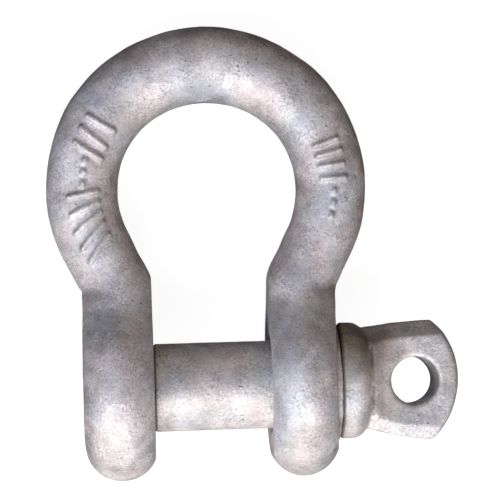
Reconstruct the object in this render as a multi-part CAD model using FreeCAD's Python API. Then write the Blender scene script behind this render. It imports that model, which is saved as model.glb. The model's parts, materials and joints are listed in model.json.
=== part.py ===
import FreeCAD
import Part
import math
import os

# Bow shackle with a screw pin, nominal bar 16 mm (5/8 in). Lengths are in millimetres, angles in degrees.
# The origin is on the pin axis, midway between the ears. +X runs along the pin towards its eye head,
# +Y towards the crown of the bow, and +Z up from the surface that the shackle lies on.

# The bow: a round bar bent into an arc of more than a half circle, with two straight limbs to the ears.
BOW_CENTRE = 46.0
BOW_OUTER_R = 36.7
CROWN_BAR = 17.5
SIDE_BAR = 16.3
LIMB_SLOPE = 26.0
LIMB_THINNED = 0.4
BEND_R = 11.0

# The ears: round discs across the pin, with full-round rims and machined inner faces. The plain ear's
# outer side is forged with draft, and a round boss is left standing on it for the collar to seat on.
EAR_CENTRE = 21.1
EAR_R = 21.2
EAR_THICK = 16.2
EAR_SPARE = 0.6
EAR_FACE_R = 23.2
GAP = 26.5
SLOT_TOP = 28.0
SHOULDER_R = 22.0
EAR_SIDE = 29.1
EAR_SIDE_TOP = 21.6
EAR_DRAFT = 5.0
BOSS_R = 13.2

# The pin: a plain shank, a shade thicker where it fills the plain ear.
HOLE_R = 10.65
SHANK_R = 10.1
SEAT_R = 10.3
SEAT_X = 13.5
SEAT_CONE = 0.5
SHANK_START = -13.15
SHANK_EDGE = 0.3
TIP_X = -28.2
PILOT_LENGTH = 1.5
PILOT_R = 7.8

# The collar, forged a little off the pin's axis, and the hollow neck behind it.
COLLAR_R = 13.4
COLLAR_RISE = 0.4
COLLAR_X = 29.3
COLLAR_FLAT = 2.7
COLLAR_RIM = 0.6
COLLAR_ROUND = 3.8
NECK_END = 36.9
NECK_SINK = 0.5
NECK_HOLLOW_ALONG = 0.2
NECK_HOLLOW_UP = 0.35

# The head: a flat plate, waisted at the collar, with bevelled long edges, a curved end and a round eye.
# A low ridge crosses the neck where the flats begin. It is forged a few degrees out of line with the bow.
HEAD_START = 33.5
HEAD_END = 56.45
HEAD_END_R = 18.9
HEAD_END_UP = 0.4
HEAD_WAIST_UP = 12.3
HEAD_WAIST_DOWN = 10.0
HEAD_HALF_UP = 13.7
HEAD_HALF_DOWN = 13.3
HEAD_CORNER_UP_R = 2.8
HEAD_CORNER_DOWN_R = 2.6
HEAD_THICK = 13.8
HEAD_BEVEL_UP = 3.6
HEAD_BEVEL_DOWN = 2.6
RIDGE_X = 37.1
RIDGE_RISE = 0.8
RIDGE_FOOT = 2.1
RIDGE_BACK = 1.2
HEAD_END_EDGE_R = 1.6
HEAD_TWIST = 3.8
HEAD_DROOP = 1.5
EYE_X = 46.4
EYE_R = 5.5
EYE_ROUND = 0.8

# The thread: 3/4-10 UNC, right-handed, tapped in the -X ear.
PITCH = 2.54
THREAD_R = 9.4
ROOT_R = 7.95
TAP_MINOR_R = 8.35
TAP_MAJOR_R = 9.65
CREST = 0.32
THREAD_START = TIP_X + 0.2
THREAD_TURNS = 9
THREAD_SPARE = 0.2
TAP_TURNS = 11
TAP_ROOTED = 0.5
FLANK_CLEARANCE = 0.17
FLANK = math.tan(math.radians(30.0))

CHAMFER = 0.8
OUTLINE_POINTS = 36
FLAT_TURN = math.radians(30.0)

# How far cutting tools run past the metal, and the length under which an edge counts as a point.
OVERRUN = 5.0
TINY = 0.01

V = FreeCAD.Vector
X_AXIS = V(1, 0, 0)
ORIGIN = V(0, 0, 0)
EAR_HALF = EAR_THICK / 2
CROWN_REACH = BOW_CENTRE + BOW_OUTER_R - CROWN_BAR / 2
LEAN = math.degrees(math.asin((EAR_R - CROWN_BAR / 2) / CROWN_REACH))


def lay_down(shape):
    """Tilts the finished shape about the pin axis until crown and ears rest on the same surface."""
    placed = shape.copy()
    placed.rotate(ORIGIN, X_AXIS, -LEAN)
    return placed


def bar_diameter(angle):
    """The bar is thickest at the crown, at 90 degrees, and thins evenly down to the sides."""
    share = max(0.0, math.sin(math.radians(angle))) ** 2
    return SIDE_BAR + (CROWN_BAR - SIDE_BAR) * share


def ear_half_depth(height):
    """Half of the limb's depth across the bow's plane: ear's disc, hollow shoulder, then round bar."""
    bar = SIDE_BAR / 2
    shoulder_w = bar + SHOULDER_R
    shoulder_y = math.sqrt((EAR_R + SHOULDER_R) ** 2 - shoulder_w ** 2)
    meet_y = shoulder_y * EAR_R / (EAR_R + SHOULDER_R)
    if height <= meet_y:
        return math.sqrt(EAR_R ** 2 - height ** 2)
    if height < shoulder_y:
        return shoulder_w - math.sqrt(SHOULDER_R ** 2 - (shoulder_y - height) ** 2)
    return bar


def centreline():
    """Points, directions and in-plane half widths (inner, outer) down the +X limb, from crown to ear."""
    stations = []
    for angle in range(90, -int(LIMB_SLOPE), -6):
        half = bar_diameter(angle) / 2
        a = math.radians(angle)
        r = BOW_OUTER_R - half
        point = V(r * math.cos(a), BOW_CENTRE + r * math.sin(a), 0)
        inner = half - LIMB_THINNED * max(0.0, -angle / LIMB_SLOPE)
        stations.append((point, V(math.sin(a), -math.cos(a), 0), inner, half))
    half = SIDE_BAR / 2
    thin = half - LIMB_THINNED
    slope = math.radians(LIMB_SLOPE)
    r = BOW_OUTER_R - half
    start = V(r * math.cos(slope), BOW_CENTRE - r * math.sin(slope), 0)
    down = V(-math.sin(slope), -math.cos(slope), 0)
    tangent = BEND_R * math.tan(slope / 2)
    corner = start + down * ((start.x - EAR_CENTRE) / math.sin(slope))
    bend_start = corner - down * tangent
    bend_end = corner + V(0, -tangent, 0)
    for share in (0.0, 0.5):
        stations.append((start + (bend_start - start) * share, down, thin, half))
    bend_centre = V(EAR_CENTRE + BEND_R, bend_end.y, 0)
    for step in range(6):
        turn = slope * (1 - step / 5)
        inner = thin + (EAR_HALF + EAR_SPARE - thin) * step / 5
        outer = half + (EAR_HALF - half) * step / 5
        point = bend_centre + V(-BEND_R * math.cos(turn), BEND_R * math.sin(turn), 0)
        stations.append((point, V(-math.sin(turn), -math.cos(turn), 0), inner, outer))
    steps = 7
    for step in range(1, steps + 1):
        y = bend_end.y * (1 - step / steps)
        stations.append((V(EAR_CENTRE, y, 0), V(0, -1, 0), EAR_HALF + EAR_SPARE, EAR_HALF))
    return stations


def outline(station):
    """A smooth closed curve across the limb: two half rounds, joined by flats where it is deeper."""
    point, along, inner, outer = station
    outward = V(-along.y, along.x, 0)
    middle = point + outward * ((outer - inner) / 2)
    half = (inner + outer) / 2
    flat = max(0.0, ear_half_depth(point.y) - half)
    share = min(1.0, flat / half)
    points = []
    for step in range(OUTLINE_POINTS):
        turn = 2 * math.pi * step / OUTLINE_POINTS
        across = math.asin(math.sin(turn))
        if abs(across) <= FLAT_TURN:
            level = math.sin(across / FLAT_TURN * math.pi / 2)
            lift = 0.0
        else:
            level = math.copysign(1.0, across)
            lift = level * (abs(across) - FLAT_TURN) / (1 - FLAT_TURN * 2 / math.pi)
        angle = (1 - share) * across + share * lift
        side = 1 if math.cos(turn) >= 0 else -1
        height = half * math.sin(angle) + flat * level
        points.append(middle + outward * (side * half * math.cos(angle)) + V(0, 0, height))
    curve = Part.BSplineCurve()
    curve.interpolate(Points=points, PeriodicFlag=True, Parameters=list(range(OUTLINE_POINTS + 1)))
    return curve


def bar_surface(stations):
    """One smooth surface through all the outlines, closed round the bar and open at both ends."""
    curves = [outline(s) for s in stations]
    travel = [0.0]
    for one, other in zip(stations, stations[1:]):
        travel.append(travel[-1] + (other[0] - one[0]).Length)
    rows = []
    for lengthwise in zip(*(c.getPoles() for c in curves)):
        row = Part.BSplineCurve()
        row.interpolate(Points=list(lengthwise), Parameters=travel)
        rows.append(row)
    surface = Part.BSplineSurface()
    surface.buildFromPolesMultsKnots(
        poles=[row.getPoles() for row in rows],
        umults=curves[0].getMultiplicities(),
        vmults=rows[0].getMultiplicities(),
        uknots=curves[0].getKnots(),
        vknots=rows[0].getKnots(),
        uperiodic=True,
        vperiodic=False,
        udegree=curves[0].Degree,
        vdegree=rows[0].Degree,
    )
    return surface.toShape()


def ear_bottom(station):
    """The lower half of one ear: the front half of its outline, turned half way about the pin axis."""
    curve = outline(station)
    front = curve.toShape(0, OUTLINE_POINTS / 2)
    return front.revolve(ORIGIN, X_AXIS, 180)


def forging():
    """The bow as forged, from the middle of one ear, over the crown, to the middle of the other."""
    right = centreline()
    left = []
    for point, along, inner, outer in reversed(right[1:]):
        left.append((V(-point.x, point.y, 0), V(along.x, -along.y, 0), inner, outer))
    stations = left + right
    faces = [bar_surface(stations), ear_bottom(stations[0]), ear_bottom(stations[-1])]
    shell = Part.Shell(faces)
    shell.sewShape()
    return Part.Solid(shell)


def cylinder_x(radius, start, end):
    return Part.makeCylinder(radius, end - start, V(start, 0, 0), X_AXIS)


def turned(profile):
    """A solid turned about the pin axis from (x, radius) points; each span is a straight line."""
    points = [V(x, r, 0) for x, r in profile]
    return Part.Face(Part.makePolygon(points + [points[0]])).revolve(ORIGIN, X_AXIS, 360)


def ridge_half(radius):
    """Half the thread ridge's width at a radius."""
    return CREST / 2 + (THREAD_R - radius) * FLANK


def helical_bar(start, turns, inner_r, inner_half, outer_r, outer_half):
    """A right-handed helical bar about the pin axis from x = start, with a half width at each radius."""
    profile = Part.makePolygon([
        V(inner_r, 0, -inner_half),
        V(outer_r, 0, -outer_half),
        V(outer_r, 0, outer_half),
        V(inner_r, 0, inner_half),
        V(inner_r, 0, -inner_half),
    ])
    helix = Part.makeHelix(PITCH, PITCH * turns, inner_r)
    bar = Part.Wire(helix.Edges).makePipeShell([profile], True, True)
    bar.rotate(ORIGIN, V(0, 1, 0), 90)
    bar.translate(V(start, 0, 0))
    return bar


def tap_groove():
    """The groove that takes the pin's ridge, with room on its flanks and crest."""
    rooted = TAP_MINOR_R - TAP_ROOTED
    inner_half = ridge_half(rooted) + FLANK_CLEARANCE
    outer_half = ridge_half(TAP_MAJOR_R) + FLANK_CLEARANCE
    return helical_bar(THREAD_START - 2 * PITCH, TAP_TURNS, rooted, inner_half, TAP_MAJOR_R, outer_half)


def pin_groove():
    """The groove between the turns of the pin's ridge, half a pitch out of step with it."""
    outer_r = THREAD_R + THREAD_SPARE
    inner_half = PITCH / 2 - ridge_half(ROOT_R)
    outer_half = PITCH / 2 - ridge_half(outer_r)
    return helical_bar(THREAD_START - 1.5 * PITCH, THREAD_TURNS, ROOT_R, inner_half, outer_r, outer_half)


def hole_chamfer(radius, face_x, out):
    """The cone cut at a hole's mouth; out is +1 or -1, the way the mouth faces along X."""
    return turned([
        (face_x - out * CHAMFER, 0),
        (face_x - out * CHAMFER, radius),
        (face_x + out * CHAMFER, radius + 2 * CHAMFER),
        (face_x + out * CHAMFER, 0),
    ])


def ear_side_cutter():
    """Trims the plain ear's outer side, round the boss, to two drafted flats that meet in mid-ear."""
    depth = EAR_R + OVERRUN
    slant = depth * math.tan(math.radians(EAR_DRAFT))
    far = EAR_SIDE + OVERRUN
    edge = EAR_SIDE - slant
    profile = [(EAR_SIDE, 0), (edge, depth), (far, depth), (far, -depth), (edge, -depth)]
    points = [V(x, -depth, z) for x, z in profile]
    wedge = Part.Face(Part.makePolygon(points + [points[0]])).extrude(V(0, depth + 2 * EAR_SIDE_TOP, 0))
    foot = V(EAR_SIDE - OVERRUN, EAR_SIDE_TOP - OVERRUN, -depth)
    head = V(far, EAR_SIDE_TOP + OVERRUN, -depth)
    below = [foot, head, V(far, -depth, -depth), V(foot.x, -depth, -depth)]
    side = Part.Face(Part.makePolygon(below + [below[0]])).extrude(V(0, 0, 2 * depth))
    return wedge.common(side).cut(cylinder_x(BOSS_R, EAR_SIDE - 2 * OVERRUN, far))


def bow():
    """The finished bow: inner ear faces machined to the gap, one ear bored plain, the other tapped."""
    body = forging()
    outer_face = EAR_CENTRE + EAR_HALF
    inner_face = GAP / 2
    reach = EAR_R + OVERRUN
    slot = Part.makeBox(GAP, reach + SLOT_TOP, 2 * reach, V(-inner_face, -reach, -reach))
    faces = [
        cylinder_x(BOSS_R + CHAMFER, outer_face, outer_face + OVERRUN),
        cylinder_x(EAR_FACE_R, -outer_face - OVERRUN, -outer_face),
        ear_side_cutter(),
    ]
    plain = [
        cylinder_x(HOLE_R, inner_face - OVERRUN, outer_face + OVERRUN),
        hole_chamfer(HOLE_R, outer_face, 1),
        hole_chamfer(HOLE_R, inner_face, -1),
    ]
    tapped = [
        cylinder_x(TAP_MINOR_R, -outer_face - OVERRUN, -inner_face + OVERRUN),
        hole_chamfer(TAP_MINOR_R, -inner_face, 1),
        hole_chamfer(TAP_MINOR_R, -outer_face, -1),
    ]
    body = body.cut(slot).cut(tap_groove())
    for cutter in faces + plain + tapped:
        body = body.cut(cutter)
    return body


def head_bar():
    """The head before its end is shaped: it widens from the waist, and its long edges are bevelled."""
    top = HEAD_THICK / 2 + RIDGE_RISE
    base = -top
    far = HEAD_END + OVERRUN
    widest = HEAD_END - HEAD_END_R / 2
    up = V(HEAD_START, HEAD_WAIST_UP, base)
    down = V(HEAD_START, -HEAD_WAIST_DOWN, base)
    far_up = V(far, HEAD_HALF_UP, base)
    far_down = V(far, -HEAD_HALF_DOWN, base)
    edges = [
        Part.makeLine(down, up),
        Part.Arc(up, V(widest, HEAD_HALF_UP, base), far_up).toShape(),
        Part.makeLine(far_up, far_down),
        Part.Arc(far_down, V(widest, -HEAD_HALF_DOWN, base), down).toShape(),
    ]
    bar = Part.Face(Part.Wire(edges)).extrude(V(0, 0, 2 * top))
    for side, bevel in ((1, HEAD_BEVEL_UP), (-1, HEAD_BEVEL_DOWN)):
        rims = [e for e in bar.Edges if e.BoundBox.ZLength < TINY and e.BoundBox.XLength > OVERRUN]
        bar = bar.makeChamfer(bevel + RIDGE_RISE, [e for e in rims if e.CenterOfMass.y * side > 0])
    return bar


def head_flats():
    """The head's profile from the side: two flats, and at the neck a low ridge on each."""
    flat = HEAD_THICK / 2
    upper = [
        (HEAD_START - OVERRUN, flat),
        (RIDGE_X - RIDGE_BACK, flat),
        (RIDGE_X, flat + RIDGE_RISE),
        (RIDGE_X + RIDGE_FOOT, flat),
        (HEAD_END + OVERRUN, flat),
    ]
    ring = upper + [(x, -z) for x, z in reversed(upper)]
    reach = HEAD_HALF_UP + OVERRUN
    points = [V(x, -reach, z) for x, z in ring]
    return Part.Face(Part.makePolygon(points + [points[0]])).extrude(V(0, 2 * reach, 0))


def head_end():
    """The shape of the head's end: an arc between two rounded corners, with a small round on its rims."""
    base = -HEAD_THICK / 2
    half = max(HEAD_HALF_UP, HEAD_HALF_DOWN) + HEAD_END_EDGE_R / 2
    start = HEAD_START - OVERRUN
    centre_x = HEAD_END - HEAD_END_R
    corner_up = V(centre_x + math.sqrt(HEAD_END_R ** 2 - (half - HEAD_END_UP) ** 2), half, base)
    corner_down = V(centre_x + math.sqrt(HEAD_END_R ** 2 - (half + HEAD_END_UP) ** 2), -half, base)
    edges = [
        Part.makeLine(V(start, -half, base), V(start, half, base)),
        Part.makeLine(V(start, half, base), corner_up),
        Part.Arc(corner_up, V(HEAD_END, HEAD_END_UP, base), corner_down).toShape(),
        Part.makeLine(corner_down, V(start, -half, base)),
    ]
    plate = Part.Face(Part.Wire(edges)).extrude(V(0, 0, HEAD_THICK))
    for side, radius in ((1, HEAD_CORNER_UP_R), (-1, HEAD_CORNER_DOWN_R)):
        uprights = [e for e in plate.Edges if e.BoundBox.ZLength > HEAD_THICK / 2]
        corner = [e for e in uprights if e.BoundBox.XMin > HEAD_START and e.BoundBox.YMin * side > 0]
        plate = plate.makeFillet(radius, corner)
    rims = [e for e in plate.Edges if e.BoundBox.ZLength < TINY and e.BoundBox.XMax > HEAD_START]
    plate = plate.makeFillet(HEAD_END_EDGE_R, rims)
    neck_length = RIDGE_X + RIDGE_FOOT - start
    neck = Part.makeBox(neck_length, 2 * half, 2 * HEAD_THICK, V(start, -half, -HEAD_THICK))
    return plate.fuse(neck)


def head():
    """The flat eye head, drooping a little from the pin's axis and twisted a little about it."""
    plate = head_bar().common(head_end()).common(head_flats()).cut(eye_cutter())
    plate.rotate(V(COLLAR_X, 0, 0), V(0, 1, 0), HEAD_DROOP)
    plate.rotate(ORIGIN, X_AXIS, -HEAD_TWIST)
    return plate


def eye_cutter():
    """The eye: a round hole whose two mouths are rounded over."""
    half = HEAD_THICK / 2
    mouth = EYE_R + EYE_ROUND
    turn = EYE_ROUND * (1 - math.sqrt(0.5))
    over = EYE_ROUND
    low = V(EYE_R, 0, EYE_ROUND - half)
    high = V(EYE_R, 0, half - EYE_ROUND)
    edges = [
        Part.makeLine(V(0, 0, -half - over), V(mouth, 0, -half - over)),
        Part.makeLine(V(mouth, 0, -half - over), V(mouth, 0, -half)),
        Part.Arc(V(mouth, 0, -half), V(EYE_R + turn, 0, turn - half), low).toShape(),
        Part.makeLine(low, high),
        Part.Arc(high, V(EYE_R + turn, 0, half - turn), V(mouth, 0, half)).toShape(),
        Part.makeLine(V(mouth, 0, half), V(mouth, 0, half + over)),
        Part.makeLine(V(mouth, 0, half + over), V(0, 0, half + over)),
        Part.makeLine(V(0, 0, half + over), V(0, 0, -half - over)),
    ]
    cutter = Part.Face(Part.Wire(edges)).revolve(ORIGIN, V(0, 0, 1), 360)
    cutter.translate(V(EYE_X, 0, 0))
    return cutter


def collar():
    """The collar that seats on the plain ear, rounded over at its back and hollowed down to the head."""
    back = COLLAR_X + COLLAR_FLAT
    turn = COLLAR_ROUND * math.sqrt(0.5)
    neck = V(back + COLLAR_ROUND, COLLAR_R - COLLAR_ROUND, 0)
    waist = V(NECK_END, HEAD_THICK / 2 - NECK_SINK, 0)
    hollow = V(
        neck.x + (waist.x - neck.x) * NECK_HOLLOW_ALONG,
        waist.y + (neck.y - waist.y) * NECK_HOLLOW_UP,
        0,
    )
    rim_foot = V(COLLAR_X, COLLAR_R - COLLAR_RIM, 0)
    rim_top = V(COLLAR_X + COLLAR_RIM, COLLAR_R, 0)
    edges = [
        Part.makeLine(V(COLLAR_X, 0, 0), rim_foot),
        Part.makeLine(rim_foot, rim_top),
        Part.makeLine(rim_top, V(back, COLLAR_R, 0)),
        Part.Arc(V(back, COLLAR_R, 0), V(back + turn, neck.y + turn, 0), neck).toShape(),
        Part.Arc(neck, hollow, waist).toShape(),
        Part.makeLine(waist, V(NECK_END, 0, 0)),
        Part.makeLine(V(NECK_END, 0, 0), V(COLLAR_X, 0, 0)),
    ]
    ring = Part.Face(Part.Wire(edges)).revolve(ORIGIN, X_AXIS, 360)
    ring.translate(V(0, COLLAR_RISE, 0))
    return ring


def thread_and_shank():
    """The pin from its threaded end to the collar's seat."""
    start = TIP_X + PILOT_LENGTH
    lead = THREAD_R - ROOT_R
    thread = turned([
        (start, 0),
        (start, ROOT_R),
        (start + lead, THREAD_R),
        (SHANK_START + PITCH, THREAD_R),
        (SHANK_START + PITCH, 0),
    ])
    shank = turned([
        (SHANK_START, 0),
        (SHANK_START, SHANK_R - SHANK_EDGE),
        (SHANK_START + SHANK_EDGE, SHANK_R),
        (SEAT_X, SHANK_R),
        (SEAT_X + SEAT_CONE, SEAT_R),
        (COLLAR_X + COLLAR_FLAT / 2, SEAT_R),
        (COLLAR_X + COLLAR_FLAT / 2, 0),
    ])
    blank = cylinder_x(SHANK_R, start, SHANK_START + PITCH)
    return blank.cut(pin_groove()).common(thread).fuse(shank)


def screw_pin():
    """The screw pin without its pilot: thread, shank, collar and eye head forged in one piece."""
    return collar().fuse(head()).fuse(thread_and_shank())


def pin_end():
    """The plain pilot at the tip of the pin, chamfered to find the tapped hole."""
    return turned([
        (TIP_X, 0),
        (TIP_X, PILOT_R - CHAMFER),
        (TIP_X + CHAMFER, PILOT_R),
        (TIP_X + PILOT_LENGTH, PILOT_R),
        (TIP_X + PILOT_LENGTH, 0),
    ])


def main():
    os.makedirs("parts", exist_ok=True)
    nodes = {"bow_body": bow(), "screw_pin": screw_pin(), "pin_end": pin_end()}
    for name, shape in nodes.items():
        placed = lay_down(shape)
        placed.exportStep(os.path.join("parts", name + ".step"))
        print(name, placed.isValid(), len(placed.Solids), round(placed.Volume, 1))


if __name__ == "__main__":
    main()
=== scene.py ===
import json
import math

import bmesh
import bpy
import numpy as np
from mathutils import Matrix, Vector


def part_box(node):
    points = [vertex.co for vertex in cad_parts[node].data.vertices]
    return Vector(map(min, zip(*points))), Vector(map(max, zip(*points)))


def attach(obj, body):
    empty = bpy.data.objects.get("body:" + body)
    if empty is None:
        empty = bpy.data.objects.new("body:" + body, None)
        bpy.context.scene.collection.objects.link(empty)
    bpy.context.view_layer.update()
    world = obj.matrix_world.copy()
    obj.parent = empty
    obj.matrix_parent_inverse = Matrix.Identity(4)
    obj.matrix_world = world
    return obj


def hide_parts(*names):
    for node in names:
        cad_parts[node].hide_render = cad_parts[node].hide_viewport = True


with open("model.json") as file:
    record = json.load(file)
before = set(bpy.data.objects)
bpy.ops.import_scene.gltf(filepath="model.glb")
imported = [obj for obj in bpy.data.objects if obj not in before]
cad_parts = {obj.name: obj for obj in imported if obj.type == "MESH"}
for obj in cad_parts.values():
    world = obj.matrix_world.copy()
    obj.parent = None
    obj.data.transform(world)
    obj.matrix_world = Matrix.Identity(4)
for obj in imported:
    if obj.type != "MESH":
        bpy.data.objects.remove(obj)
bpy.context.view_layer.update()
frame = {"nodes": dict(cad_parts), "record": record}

MM = 0.001
SEED = 7

# How the visible skins are made from the CAD solids.
BOW_VOXEL = 0.32 * MM
PIN_VOXEL = 0.26 * MM

# The raised tally marks on the two limbs: places in degrees round the bow's centre from +X, and
# reaches in degrees round the bar from its top. Each stroke on the -X limb is a place and a slant.
MARK_R = 0.66 * MM
PIP_R = 1.1 * MARK_R
MARK_SIDES = 10
LEFT_STROKES = (
    (148.0, 0), (155.5, -4), (162.0, -4),
    (182.0, 2), (188.5, 4), (195.0, 6), (201.5, 7), (208.0, 7),
)
LEFT_REACH = (-26, 20)
LEFT_PIPS = (166.5, 172.0, 177.5)
LEFT_PIP_TURN = -2
RIGHT_STROKES = (19.0, 14.0, 8.5, 2.5)
RIGHT_REACH = (-17, 20)
RIGHT_PIPS = (-3.5, -9.0, -14.5)
RIGHT_PIP_TURN = 2

# Wear and unevenness of the forgings, beyond what the CAD solids hold.
LIMB_SLIMMED = 0.25 * MM
FLASH_RISE = 0.13 * MM
FLASH_WIDTH = 0.7 * MM
HEAD_WORN_FROM = 17.5 * MM
HEAD_WORN_ROUNDS = 12
# A darkened spot on the pin's neck, partly handling dirt and partly painted shade: its middle and its reach.
NECK_SOIL_AND_SHADE = ((33 * MM, 11 * MM, 5 * MM), 12 * MM)

# The middle of the shackle, which the lights and the camera are set round.
MIDDLE = Vector((0.0, 30 * MM, 0.0))
LIGHT_REACH = 1.0
FLOOR_SIZE = 4.0

# The camera looks almost straight down on the shackle as it lies, from a little over its crown.
CAMERA_OFFSET = Vector((9.38 * MM, 1.98 * MM, 490 * MM))
CAMERA_TILT = math.radians(11.23)
CAMERA_SWING = math.radians(3.3)
CAMERA_ROLL = math.radians(1.58)
CAMERA_LENS = 154.8
CAMERA_SENSOR = 36.0


# ---------------------------------------------------------------- measures taken from the frame

def mount(name):
    return next(m for m in frame["record"]["mounts"] if m["name"] == name)


SEAT_AXIS = Vector(mount("bow_seat")["axis"])
LEAN = math.atan2(SEAT_AXIS.z, -SEAT_AXIS.y)
TO_PLANE = Matrix.Rotation(LEAN, 3, "X")
TO_ROW = Matrix.Rotation(-LEAN, 3, "X")


def mesh_points(mesh):
    points = np.empty(len(mesh.vertices) * 3, np.float32)
    mesh.vertices.foreach_get("co", points)
    return points.reshape(-1, 3).astype(float)


def in_plane(points):
    """Row points with the bow's plane turned level: x along the pin, y to the crown, z out of it."""
    return points @ np.array(TO_PLANE).T


def from_pin(flat):
    """How far each in-plane point is from the pin's axis."""
    return np.hypot(flat[:, 1], flat[:, 2])


def gap_half(flat):
    """Half the gap between the ears, from the points of their inner faces round the holes."""
    return abs(flat[from_pin(flat) < 14 * MM][:, 0]).min()


def side_bar_r(flat):
    """Half the bar's thickness at the bow's widest level."""
    level = flat[abs(flat[:, 1] - BOW_CENTRE_Y) < 2 * MM]
    inner = level[level[:, 0] > 0][:, 0].min()
    return (OUTER_R - inner) / 2


BOW_POINTS = in_plane(mesh_points(frame["nodes"]["bow_body"].data))
OUTER_R = BOW_POINTS[:, 0].max()
BOW_CENTRE_Y = BOW_POINTS[:, 1].max() - OUTER_R
SEAT_Y = Vector(mount("bow_seat")["pos_m"]).length
CROWN_BAR_R = (BOW_POINTS[:, 1].max() - SEAT_Y) / 2
SIDE_BAR_R = side_bar_r(BOW_POINTS)
GAP_HALF = gap_half(BOW_POINTS)
FLOOR_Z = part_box("bow_body")[0].z
HOLE_REACH = mount("pin")["dims"]["r_mm"] * MM + 1.6 * MM


# ---------------------------------------------------------------- noise for the forged and dipped surface

def lattice(cells, seed):
    """A repeatable value from -1 to 1 for each whole-numbered cell."""
    mixed = cells[:, 0] * 73856093 ^ cells[:, 1] * 19349663 ^ cells[:, 2] * 83492791 ^ (seed * 2654435761)
    mixed = (mixed ^ (mixed >> 13)) * 1274126177
    mixed = mixed ^ (mixed >> 16)
    return (mixed & 0xFFFF) / 32767.5 - 1.0


def smooth_noise(points, size, seed):
    """Smooth noise from -1 to 1 whose bumps are about size across."""
    spots = points / size + 100.0
    cells = np.floor(spots).astype(np.int64)
    share = spots - cells
    share = share * share * (3 - 2 * share)
    total = np.zeros(len(points))
    for corner in np.ndindex(2, 2, 2):
        weight = np.prod(np.where(corner, share, 1 - share), axis=1)
        total += weight * lattice(cells + corner, seed)
    return total


def ramped(values, start, width):
    """0 up to start, 1 from start + width on, and a straight rise between."""
    return np.clip((values - start) / width, 0, 1)


def dents(points, size, radius, share, seed):
    """Round dents: 0 away from them, 1 in the middle of one. share is how many cells hold one."""
    cells = np.floor(points / size).astype(np.int64)
    depth = np.zeros(len(points))
    for step in np.ndindex(3, 3, 3):
        cell = cells + np.array(step) - 1
        spot = np.stack([lattice(cell, seed + k) for k in range(3)], axis=1)
        middle = (cell + 0.5 + 0.4 * spot) * size
        here = lattice(cell, seed + 3) < 2 * share - 1
        wide = radius * (0.75 + 0.35 * lattice(cell, seed + 4))
        reach = np.clip(1 - (np.linalg.norm(points - middle, axis=1) / wide) ** 2, 0, 1)
        depth = np.maximum(depth, here * reach ** 1.5)
    return depth


# ---------------------------------------------------------------- meshes

def new_object(name, mesh):
    piece = bpy.data.objects.new(name, mesh)
    bpy.context.scene.collection.objects.link(piece)
    return piece


def applied(piece):
    """Turns the piece's modifiers into plain mesh."""
    bpy.context.view_layer.update()
    graph = bpy.context.evaluated_depsgraph_get()
    mesh = bpy.data.meshes.new_from_object(piece.evaluated_get(graph))
    old = piece.data
    piece.modifiers.clear()
    piece.data = mesh
    bpy.data.meshes.remove(old)


def skin(name, node, voxel, smooth, extras=()):
    """One even skin over a CAD node and whatever is forged on it, with softened edges."""
    build = bmesh.new()
    build.from_mesh(frame["nodes"][node].data)
    for extra in extras:
        build.from_mesh(extra)
        bpy.data.meshes.remove(extra)
    mesh = bpy.data.meshes.new(name)
    build.to_mesh(mesh)
    build.free()
    piece = new_object(name, mesh)
    remesh = piece.modifiers.new("even", "REMESH")
    remesh.mode = "VOXEL"
    remesh.voxel_size = voxel
    soften = piece.modifiers.new("soften", "SMOOTH")
    soften.factor = 0.5
    soften.iterations = smooth
    applied(piece)
    piece.data.shade_smooth()
    return piece


def normals_of(mesh):
    values = np.empty(len(mesh.vertices) * 3, np.float32)
    mesh.vertex_normals.foreach_get("vector", values)
    return values.reshape(-1, 3).astype(float)


def displace(piece, amount, limits):
    """Moves each point along its normal by amount, without leaving the CAD node's own box."""
    points = mesh_points(piece.data) + normals_of(piece.data) * amount[:, None]
    low, high = limits
    points = np.clip(points, np.array(low), np.array(high))
    piece.data.vertices.foreach_set("co", points.astype(np.float32).ravel())
    piece.data.update()


def rod_spine(path, radius):
    """Centres and radii of a rod's rings: a dome, the path itself, and a dome."""
    ends = 4
    tip = 0.02 * radius

    def dome(point, outward, k):
        turn = math.pi / 2 * k / ends
        return point + outward * radius * math.sin(turn), radius * math.cos(turn) + tip

    first = (path[0] - path[1]).normalized()
    last = (path[-1] - path[-2]).normalized()
    spine = [dome(path[0], first, k) for k in range(ends, 0, -1)]
    spine += [(p, radius) for p in path]
    spine += [dome(path[-1], last, k) for k in range(1, ends + 1)]
    return spine


def rod(path, radius):
    """A closed round rod with domed ends along a short list of points."""
    build = bmesh.new()
    spine = rod_spine(path, radius)
    off_line = Vector((0.31, 0.17, 0.93))
    rings = []
    for k, (point, size) in enumerate(spine):
        ahead = spine[min(k + 1, len(spine) - 1)][0] - spine[max(k - 1, 0)][0]
        across = ahead.cross(off_line).normalized()
        up = across.cross(ahead).normalized()
        ring = []
        for side in range(MARK_SIDES):
            turn = 2 * math.pi * side / MARK_SIDES
            ring.append(build.verts.new(point + (across * math.cos(turn) + up * math.sin(turn)) * size))
        rings.append(ring)
    for one, other in zip(rings, rings[1:]):
        for side in range(MARK_SIDES):
            after = (side + 1) % MARK_SIDES
            build.faces.new((one[side], one[after], other[after], other[side]))
    build.faces.new(list(reversed(rings[0])))
    build.faces.new(rings[-1])
    bmesh.ops.recalc_face_normals(build, faces=build.faces)
    mesh = bpy.data.meshes.new("rod")
    build.to_mesh(mesh)
    build.free()
    return mesh


# ---------------------------------------------------------------- the bow

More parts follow.
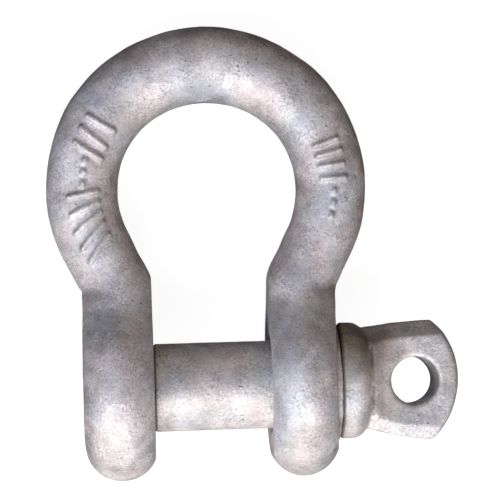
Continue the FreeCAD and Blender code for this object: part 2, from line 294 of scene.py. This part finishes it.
def on_bar(angle, turn, lift):
    """A point on the bar's skin: angle round the bow from +X, turn outwards round the bar from its top."""
    share = max(0.0, math.sin(math.radians(angle))) ** 2
    bar_r = SIDE_BAR_R + (CROWN_BAR_R - SIDE_BAR_R) * share
    a = math.radians(angle)
    t = math.radians(turn)
    out = Vector((math.cos(a), math.sin(a), 0))
    middle = Vector((0, BOW_CENTRE_Y, 0)) + out * (OUTER_R - bar_r)
    return TO_ROW @ (middle + (out * math.sin(t) + Vector((0, 0, math.cos(t)))) * (bar_r + lift))


def stroke(angle, reach, slant=0.0):
    """A raised stroke across the bar, over a reach in degrees round it."""
    low, high = reach
    steps = 8
    path = []
    for k in range(steps + 1):
        share = k / steps
        path.append(on_bar(angle + slant * (share - 0.5), low + (high - low) * share, MARK_R * 0.3))
    return rod(path, MARK_R)


def pip(angle, turn):
    """A short raised pip on the bar."""
    ends = [on_bar(angle + half, turn, PIP_R * 0.1) for half in (-0.4, 0.4)]
    return rod(ends, PIP_R)


def tally_marks():
    """Plain forged tally marks: strokes side by side, and a row of pips along the bar, on both limbs."""
    marks = [stroke(angle, LEFT_REACH, slant) for angle, slant in LEFT_STROKES]
    marks += [pip(angle, LEFT_PIP_TURN) for angle in LEFT_PIPS]
    marks += [stroke(angle, RIGHT_REACH) for angle in RIGHT_STROKES]
    marks += [pip(angle, RIGHT_PIP_TURN) for angle in RIGHT_PIPS]
    return marks


def limb_mask(flat):
    """1 on the bar and the ears' rims, 0 in the bores, and little on the machined faces between the ears."""
    bores = ramped(from_pin(flat), HOLE_REACH, 1.5 * MM)
    away = np.clip((abs(flat[:, 0]) - GAP_HALF) / (0.8 * MM), 0.25, 1)
    above_gap = flat[:, 1] > 27 * MM
    return bores * np.where(above_gap, 1.0, away)


def slimmer_limb(flat, facing):
    """How far the +X limb's and ear's inner side lies further out than the other's."""
    inward = ramped(-facing[:, 0], 0.2, 0.6)
    below_bow = ramped(48 * MM - flat[:, 1], 0, 10 * MM)
    off_bore = ramped(from_pin(flat), HOLE_REACH - 1.0 * MM, 0.6 * MM)
    return LIMB_SLIMMED * inward * below_bow * off_bore * (flat[:, 0] > 0)


def flash_line(flat, points):
    """The faint raised line that the two halves of the forging die left round the bar."""
    bar = ramped(flat[:, 1], 24 * MM, 6 * MM)
    crest = np.exp(-(flat[:, 2] / FLASH_WIDTH) ** 2)
    return FLASH_RISE * crest * bar * (0.7 + 0.5 * smooth_noise(points, 6 * MM, SEED + 3))


def make_bow():
    piece = skin("bow", "bow_body", BOW_VOXEL, 3, tally_marks())
    points = mesh_points(piece.data)
    flat = in_plane(points)
    mask = limb_mask(flat)
    amount = 0.16 * MM * smooth_noise(points, 11 * MM, SEED)
    amount += 0.07 * MM * smooth_noise(points, 4 * MM, SEED + 1)
    amount += 0.022 * MM * smooth_noise(points, 1.6 * MM, SEED + 2)
    amount -= 0.16 * MM * dents(points, 5 * MM, 0.8 * MM, 0.28, SEED + 10)
    amount += 0.14 * MM * dents(points, 7 * MM, 0.7 * MM, 0.22, SEED + 20)
    amount += flash_line(flat, points)
    amount = amount * mask - slimmer_limb(flat, normals_of(piece.data))
    displace(piece, amount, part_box("bow_body"))
    return piece


# ---------------------------------------------------------------- the pin

def wear_head(piece):
    """Wears down the edges of the pin's collar and head."""
    group = piece.vertex_groups.new(name="head")
    chosen = np.nonzero(mesh_points(piece.data)[:, 0] > GAP_HALF + HEAD_WORN_FROM)[0]
    group.add(chosen.tolist(), 1.0, "REPLACE")
    soften = piece.modifiers.new("wear", "SMOOTH")
    soften.factor = 0.5
    soften.iterations = HEAD_WORN_ROUNDS
    soften.vertex_group = group.name
    applied(piece)


def make_pin():
    piece = skin("pin", "screw_pin", PIN_VOXEL, 3)
    wear_head(piece)
    points = mesh_points(piece.data)
    rough = ramped(points[:, 0], GAP_HALF + 17 * MM, 2 * MM)
    shank = ramped(points[:, 0], 1.5 * MM - GAP_HALF, MM)
    amount = rough * 0.14 * MM * smooth_noise(points, 8 * MM, SEED + 30)
    amount += rough * 0.06 * MM * smooth_noise(points, 3 * MM, SEED + 31)
    amount += shank * 0.02 * MM * smooth_noise(points, 2.5 * MM, SEED + 32)
    amount -= shank * 0.10 * MM * dents(points, 5 * MM, 0.7 * MM, 0.25, SEED + 40)
    amount += rough * 0.12 * MM * dents(points, 6 * MM, 0.7 * MM, 0.25, SEED + 50)
    displace(piece, amount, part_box("screw_pin"))
    return piece


def make_tip():
    return skin("pin_tip", "pin_end", PIN_VOXEL, 2)


# ---------------------------------------------------------------- materials

WHITE = (1.0, 1.0, 1.0)


def add(tree, kind, **values):
    """A new shader node with its inputs, or failing that its settings, set by name."""
    node = tree.nodes.new(kind)
    for name, value in values.items():
        if name in node.inputs:
            node.inputs[name].default_value = value
        else:
            setattr(node, name, value)
    return node


def ramp(tree, source, stops):
    """A colour ramp over the source, with (place, colour) stops."""
    node = tree.nodes.new("ShaderNodeValToRGB")
    items = node.color_ramp.elements
    while len(items) < len(stops):
        items.new(0.5)
    for item, (place, colour) in zip(items, stops):
        item.position = place
        item.color = (*colour, 1.0)
    tree.links.new(source, node.inputs["Fac"])
    return node.outputs["Color"]


def multiply(tree, factor, one, other):
    """One colour times the other, by a factor that is a number or another node's output."""
    node = tree.nodes.new("ShaderNodeMix")
    node.data_type = "RGBA"
    node.blend_type = "MULTIPLY"
    if isinstance(factor, float):
        node.inputs[0].default_value = factor
    else:
        tree.links.new(factor, node.inputs[0])
    tree.links.new(one, node.inputs[6])
    tree.links.new(other, node.inputs[7])
    return node.outputs[2]


def noise(tree, place, size, detail, roughness=0.55):
    """Cloudy noise whose clouds are about size across."""
    node = add(tree, "ShaderNodeTexNoise", Scale=1 / size, Detail=detail, Roughness=roughness)
    tree.links.new(place, node.inputs["Vector"])
    return node.outputs["Fac"]


def crystals(tree, place, size):
    """Crystal-like cells about size across."""
    node = add(tree, "ShaderNodeTexVoronoi", Scale=1 / size)
    tree.links.new(place, node.inputs["Vector"])
    return node.outputs


def pitting(tree, place):
    """White, with small dark pits of uneven size."""
    uneven = add(tree, "ShaderNodeMath", operation="MULTIPLY_ADD")
    uneven.inputs[1].default_value = 0.5
    tree.links.new(noise(tree, place, 1.1 * MM, 2.0), uneven.inputs[0])
    tree.links.new(crystals(tree, place, 1.7 * MM)["Distance"], uneven.inputs[2])
    return ramp(tree, uneven.outputs[0], [(0.24, (0.25, 0.23, 0.21)), (0.40, WHITE)])


def zinc_colour(tree, place, shade, blue, pits):
    """Grey clouds, faint blue and pink tints, crystal spangle, fine speckle, pits here and there."""
    light = (shade, shade, shade * blue)
    dark = (shade * 0.72, shade * 0.71, shade * 0.69 * blue)
    clouds = ramp(tree, noise(tree, place, 8 * MM, 4.0), [(0.34, dark), (0.62, light)])
    tinted = [(0.32, (0.86, 0.93, 1.0)), (0.5, WHITE), (0.68, (1.0, 0.93, 0.94))]
    tints = ramp(tree, noise(tree, place, 12 * MM, 2.0), tinted)
    spangled = [(0.2, (0.80, 0.80, 0.82)), (0.8, WHITE)]
    spangle = ramp(tree, crystals(tree, place, 2.6 * MM)["Color"], spangled)
    speckled = [(0.36, (0.42, 0.41, 0.4)), (0.52, WHITE), (0.7, (1.3, 1.3, 1.3))]
    speck = ramp(tree, noise(tree, place, 0.5 * MM, 3.0, 0.7), speckled)
    much_speck = ramp(tree, noise(tree, place, 5 * MM, 3.0), [(0.38, (0.7,) * 3), (0.6, (0.3,) * 3)])
    patches = ramp(tree, noise(tree, place, 6 * MM, 3.0), [(0.42, WHITE), (0.6, (0, 0, 0))])
    colour = multiply(tree, 0.9, clouds, tints)
    colour = multiply(tree, 0.8, colour, spangle)
    colour = multiply(tree, much_speck, colour, speck)
    return multiply(tree, patches, colour, pits)


def painted_crevice_shade(tree, colour):
    """Paints shade into the colour: darker in corners, crevices, bores and gaps between parts, by ambient
    occlusion.
    """
    hidden = add(tree, "ShaderNodeAmbientOcclusion", Distance=5 * MM, samples=8)
    # painted shade: the occlusion darkens recesses and the gap between ear and collar
    crevice_shade = ramp(tree, hidden.outputs["AO"], [(0.15, (0.25, 0.24, 0.22)), (0.62, WHITE)])
    return multiply(tree, 0.9, colour, crevice_shade)


def soiled_and_shaded(tree, place, colour, middle, reach):
    """Darkens the colour round one spot: partly handling dirt, partly painted shade falling on the neck."""
    away = add(tree, "ShaderNodeVectorMath", operation="DISTANCE")
    away.inputs[1].default_value = middle
    tree.links.new(place, away.inputs[0])
    share = add(tree, "ShaderNodeMath", operation="DIVIDE")
    share.inputs[1].default_value = reach
    tree.links.new(away.outputs["Value"], share.inputs[0])
    soil_and_shade = ramp(tree, share.outputs[0], [(0.3, (0.60, 0.54, 0.46)), (1.0, WHITE)])
    return multiply(tree, 1.0, colour, soil_and_shade)


def grainy(tree, place, grain, pits):
    """The normal of a slightly grainy, pitted skin."""
    fine = add(tree, "ShaderNodeBump", Strength=0.9 * grain, Distance=0.16 * MM)
    tree.links.new(noise(tree, place, 0.8 * MM, 6.0, 0.62), fine.inputs["Height"])
    pitted = add(tree, "ShaderNodeBump", Strength=0.6 * grain, Distance=0.15 * MM)
    tree.links.new(pits, pitted.inputs["Height"])
    tree.links.new(fine.outputs["Normal"], pitted.inputs["Normal"])
    return pitted.outputs["Normal"]


def zinc(name, shade, blue, rough, grain, soil_and_shade=None):
    """Hot-dip galvanised steel, with painted shade in its crevices. shade is how light it is, and soil a
    (middle, reach) of a darkened spot that is partly handling dirt and partly painted shade.
    """
    material = bpy.data.materials.new(name)
    material.use_nodes = True
    tree = material.node_tree
    shader = tree.nodes["Principled BSDF"]
    place = add(tree, "ShaderNodeTexCoord").outputs["Object"]
    pits = pitting(tree, place)
    # painted shade in the crevices and between the parts
    colour = painted_crevice_shade(tree, zinc_colour(tree, place, shade, blue, pits))
    # on the pin, a darkened spot on the neck: partly dirt, partly painted shade
    if soil_and_shade:
        colour = soiled_and_shaded(tree, place, colour, *soil_and_shade)
    tree.links.new(colour, shader.inputs["Base Color"])
    glossy = [(0.3, (rough - 0.08,) * 3), (0.7, (rough + 0.12,) * 3)]
    gloss = ramp(tree, noise(tree, place, 4 * MM, 5.0, 0.6), glossy)
    tree.links.new(gloss, shader.inputs["Roughness"])
    tree.links.new(grainy(tree, place, grain, pits), shader.inputs["Normal"])
    shader.inputs["Metallic"].default_value = 0.6
    return material


# ---------------------------------------------------------------- stage

def soft_light(name, turn, rise, size, watts, colour):
    """A softbox LIGHT_REACH from the shackle: turn degrees from +X towards +Y, rise degrees up."""
    t, r = math.radians(turn), math.radians(rise)
    away = Vector((math.cos(t) * math.cos(r), math.sin(t) * math.cos(r), math.sin(r)))
    data = bpy.data.lights.new(name, "AREA")
    data.shape = "RECTANGLE"
    data.size, data.size_y = size
    data.energy = watts
    data.color = colour
    lamp = bpy.data.objects.new(name, data)
    bpy.context.scene.collection.objects.link(lamp)
    lamp.location = MIDDLE + away * LIGHT_REACH
    lamp.rotation_euler = (-away).to_track_quat("-Z", "Y").to_euler()


def pale_floor():
    """A plain white sheet, lit from behind like a light table so that only a faint shadow shows on it."""
    material = bpy.data.materials.new("pale_floor")
    material.use_nodes = True
    shader = material.node_tree.nodes["Principled BSDF"]
    shader.inputs["Base Color"].default_value = (0.2, 0.2, 0.2, 1)
    shader.inputs["Roughness"].default_value = 0.9
    shader.inputs["Specular IOR Level"].default_value = 0.0
    shader.inputs["Emission Color"].default_value = (1, 1, 1, 1)
    shader.inputs["Emission Strength"].default_value = 0.93
    return material


def make_stage():
    bpy.ops.mesh.primitive_plane_add(size=FLOOR_SIZE, location=(MIDDLE.x, MIDDLE.y, FLOOR_Z))
    floor = bpy.context.object
    floor.name = "floor"
    floor.data.materials.append(pale_floor())
    floor.visible_glossy = False
    floor.visible_diffuse = False
    soft_light("key", 262, 60, (0.4, 0.35), 5.6, (1.0, 0.955, 0.97))
    soft_light("left_key", 218, 46, (0.28, 0.28), 3.6, (1.0, 0.945, 0.94))
    soft_light("front", 252, 15, (0.9, 0.3), 6.6, (1.0, 0.93, 0.94))
    soft_light("front_right", 305, 34, (0.5, 0.4), 2.0, (1.0, 0.93, 0.93))
    soft_light("right", 342, 30, (0.4, 0.4), 1.5, (1.0, 0.80, 0.76))
    soft_light("left", 186, 36, (0.5, 0.4), 2.0, (1.0, 0.92, 0.88))
    soft_light("back_left", 142, 56, (0.3, 0.3), 2.0, (0.52, 0.59, 1.0))
    soft_light("back_right", 80, 22, (0.8, 0.3), 1.5, (1.0, 0.80, 0.58))
    world = bpy.data.worlds.new("surroundings")
    world.use_nodes = True
    surroundings = world.node_tree.nodes["Background"].inputs
    surroundings["Color"].default_value = (1.0, 0.93, 0.88, 1)
    surroundings["Strength"].default_value = 0.02
    bpy.context.scene.world = world
    bpy.context.scene.view_settings.view_transform = "Standard"


def make_camera():
    data = bpy.data.cameras.new("camera")
    data.sensor_width = CAMERA_SENSOR
    data.lens = CAMERA_LENS
    data.clip_start = 0.01
    camera = bpy.data.objects.new("camera", data)
    bpy.context.scene.collection.objects.link(camera)
    turn = Matrix.Rotation(-CAMERA_TILT, 3, "X") @ Matrix.Rotation(-CAMERA_SWING, 3, "Y")
    turn = turn @ Matrix.Rotation(-CAMERA_ROLL, 3, "Z")
    camera.matrix_world = Matrix.Translation(MIDDLE + turn @ CAMERA_OFFSET) @ turn.to_4x4()
    bpy.context.scene.camera = camera


# ---------------------------------------------------------------- the whole shackle

BOW_ZINC = zinc("galvanised_bow", shade=0.72, blue=1.0, rough=0.6, grain=1.0)
PIN_ZINC = zinc("galvanised_pin", shade=0.735, blue=0.98, rough=0.58, grain=0.9, soil_and_shade=NECK_SOIL_AND_SHADE)

for piece, node, body, material, slot in (
    (make_bow(), "bow_body", "bow", BOW_ZINC, "bow_zinc"),
    (make_pin(), "screw_pin", "pin", PIN_ZINC, "pin_zinc"),
    (make_tip(), "pin_end", "pin_carrier", PIN_ZINC, "pin_zinc"),
):
    piece.data.materials.clear()
    piece.data.materials.append(material)
    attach(piece, body)
    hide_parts(node)

make_stage()
make_camera()
